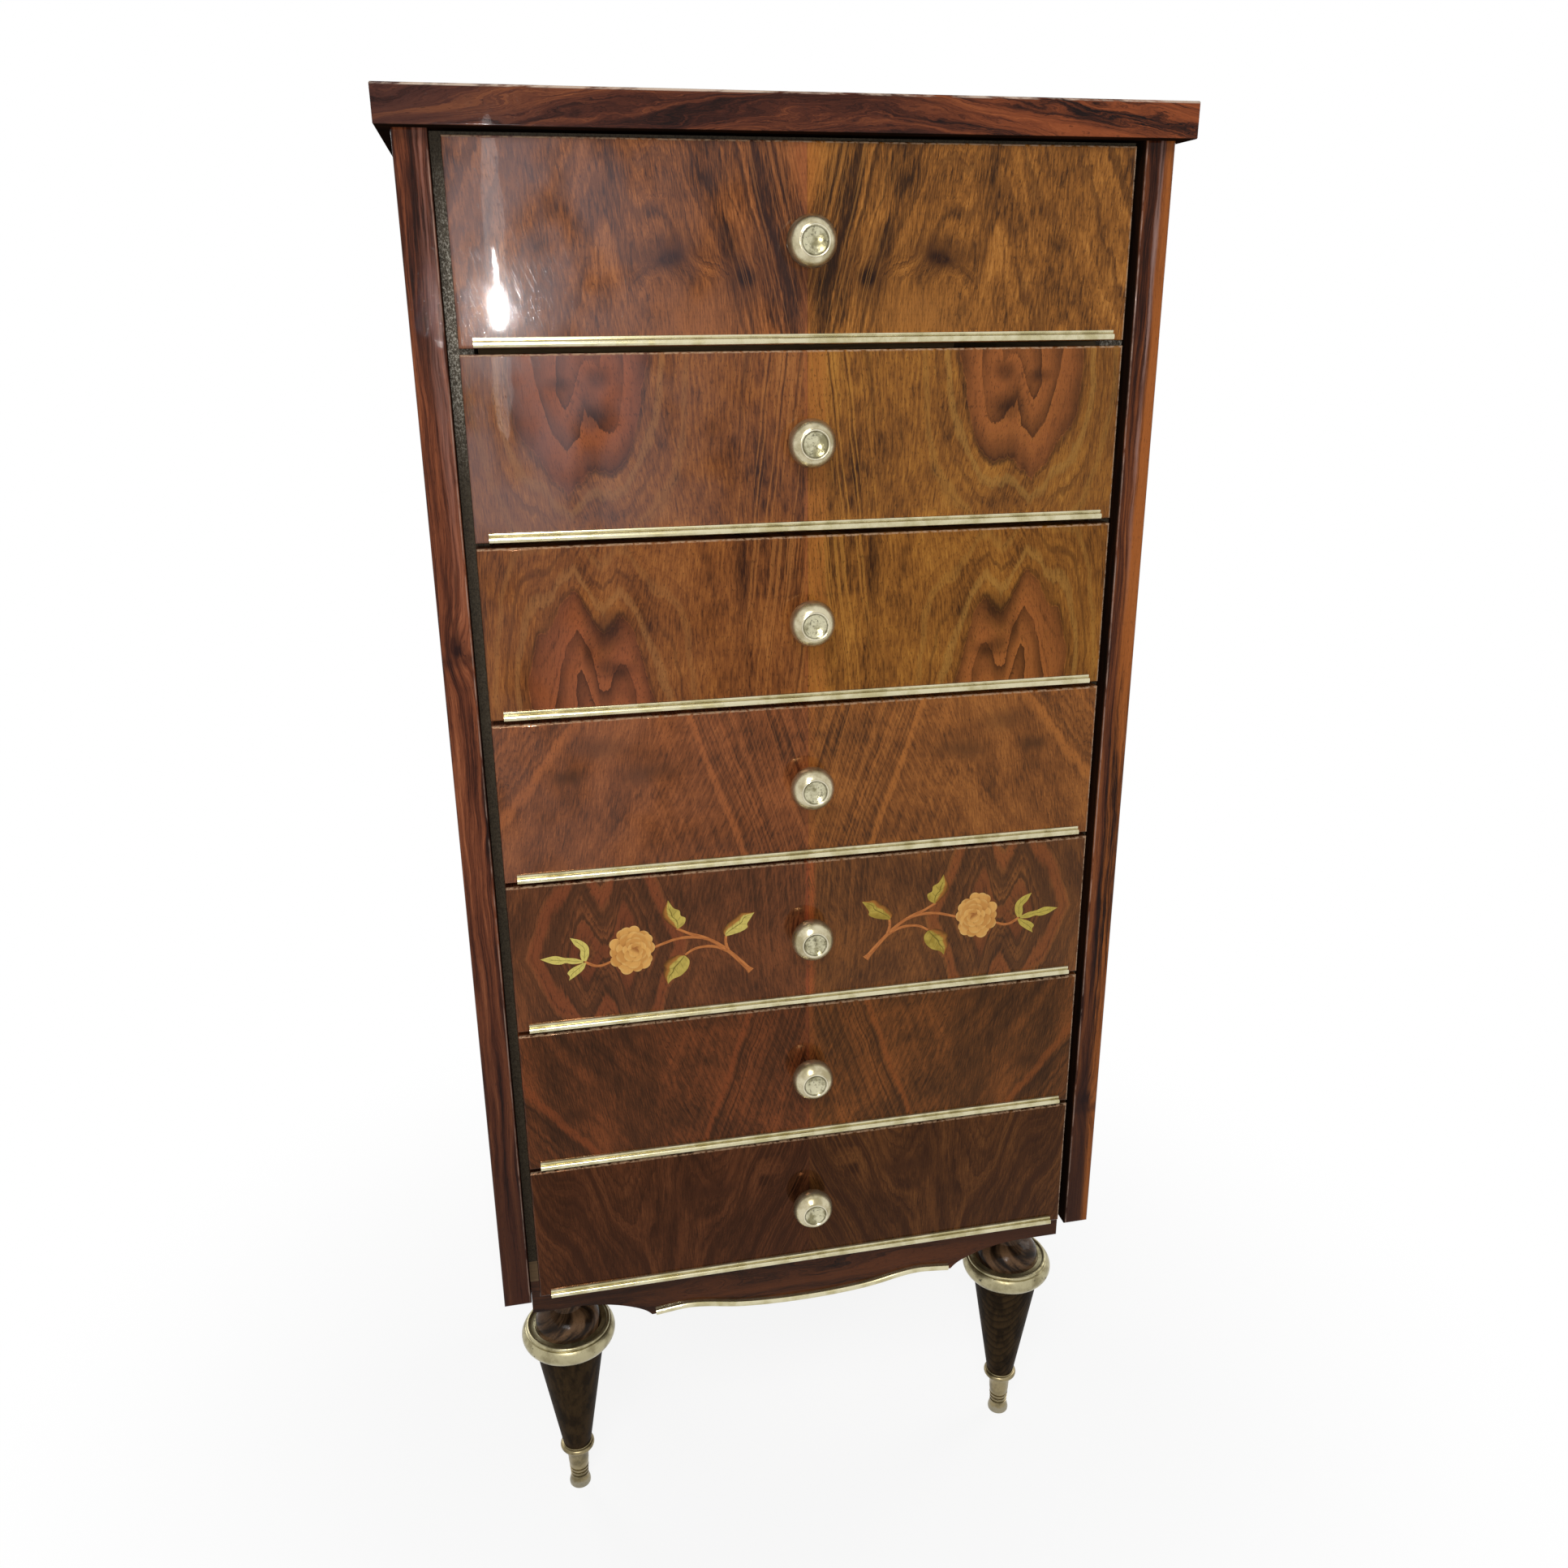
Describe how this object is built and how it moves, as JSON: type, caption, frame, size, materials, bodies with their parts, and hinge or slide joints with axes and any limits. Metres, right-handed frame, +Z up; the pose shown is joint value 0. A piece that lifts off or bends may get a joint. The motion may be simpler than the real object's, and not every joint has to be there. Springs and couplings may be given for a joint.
{
  "type": "chest of drawers",
  "caption": "Tall narrow semainier chest: veneered case on turned legs with brass collars and feet, a stack of sliding drawers with brass knobs and trims, and a front with flower marquetry.",
  "frame": {"origin": "centre of the overall box at floor level", "axes": "+X to the viewer's right when facing the drawers, +Y from the drawer fronts to the back, +Z up"},
  "size_m": [0.58, 0.4012, 1.265],
  "materials": {
    "rosewood_veneer": "gloss lacquer over rosewood veneer, near-black stripes",
    "walnut_veneer": "gloss lacquer over book-matched figured walnut veneer",
    "raw_wood": "bare planed wood",
    "plywood": "thin plywood, bare",
    "dark_oak": "dark stained oak, gloss lacquer",
    "brass": "worn pale brass, slightly tarnished",
    "flower_inlay": "yellow inlaid veneer, scorched shading, lacquered",
    "leaf_inlay": "green-dyed inlaid veneer, lacquered",
    "stem_inlay": "orange-brown inlaid veneer, lacquered",
    "steel": "plain steel"
  },
  "bodies": {
    "case": {"apron": "walnut_veneer", "apron_trim": "brass", "back_left_leg": "dark_oak", "back_left_leg_collar": "brass", "back_left_leg_foot": "brass", "back_panel": "plywood", "back_right_leg": "dark_oak", "back_right_leg_collar": "brass", "back_right_leg_foot": "brass", "base_rails": "raw_wood", "bottom_board": "raw_wood", "drawer_runners": "raw_wood", "front_left_leg": "dark_oak", "front_left_leg_collar": "brass", "front_left_leg_foot": "brass", "front_right_leg": "dark_oak", "front_right_leg_collar": "brass", "front_right_leg_foot": "brass", "left_inner_side": "raw_wood", "left_post": "rosewood_veneer", "left_side_panel": "rosewood_veneer", "leg_blocks": "raw_wood", "leg_studs": "steel", "right_inner_side": "raw_wood", "right_post": "rosewood_veneer", "right_side_panel": "rosewood_veneer", "top_rails": "raw_wood", "top_slab": "rosewood_veneer"},
    "drawer_1": {"drawer_1_box": "raw_wood", "drawer_1_front": "walnut_veneer", "drawer_1_knob": "brass", "drawer_1_trim": "brass"},
    "drawer_2": {"drawer_2_box": "raw_wood", "drawer_2_front": "walnut_veneer", "drawer_2_knob": "brass", "drawer_2_trim": "brass"},
    "drawer_3": {"drawer_3_box": "raw_wood", "drawer_3_front": "walnut_veneer", "drawer_3_knob": "brass", "drawer_3_trim": "brass"},
    "drawer_4": {"drawer_4_box": "raw_wood", "drawer_4_front": "walnut_veneer", "drawer_4_knob": "brass", "drawer_4_trim": "brass"},
    "drawer_5": {"drawer_5_box": "raw_wood", "drawer_5_front": "walnut_veneer", "drawer_5_inlaid_flowers": "flower_inlay", "drawer_5_inlaid_leaves": "leaf_inlay", "drawer_5_inlaid_stems": "stem_inlay", "drawer_5_knob": "brass", "drawer_5_trim": "brass"},
    "drawer_6": {"drawer_6_box": "raw_wood", "drawer_6_front": "walnut_veneer", "drawer_6_knob": "brass", "drawer_6_trim": "brass"},
    "drawer_7": {"drawer_7_box": "raw_wood", "drawer_7_front": "walnut_veneer", "drawer_7_knob": "brass", "drawer_7_trim": "brass"}
  },
  "joints": [
    {"name": "drawer_1_slide", "type": "slide", "parent": "case", "child": "drawer_1", "axis": [0, -1, 0], "range_m": [0, 0.27]},
    {"name": "drawer_2_slide", "type": "slide", "parent": "case", "child": "drawer_2", "axis": [0, -1, 0], "range_m": [0, 0.27]},
    {"name": "drawer_3_slide", "type": "slide", "parent": "case", "child": "drawer_3", "axis": [0, -1, 0], "range_m": [0, 0.27]},
    {"name": "drawer_4_slide", "type": "slide", "parent": "case", "child": "drawer_4", "axis": [0, -1, 0], "range_m": [0, 0.27]},
    {"name": "drawer_5_slide", "type": "slide", "parent": "case", "child": "drawer_5", "axis": [0, -1, 0], "range_m": [0, 0.27]},
    {"name": "drawer_6_slide", "type": "slide", "parent": "case", "child": "drawer_6", "axis": [0, -1, 0], "range_m": [0, 0.27]},
    {"name": "drawer_7_slide", "type": "slide", "parent": "case", "child": "drawer_7", "axis": [0, -1, 0], "range_m": [0, 0.27]}
  ]
}
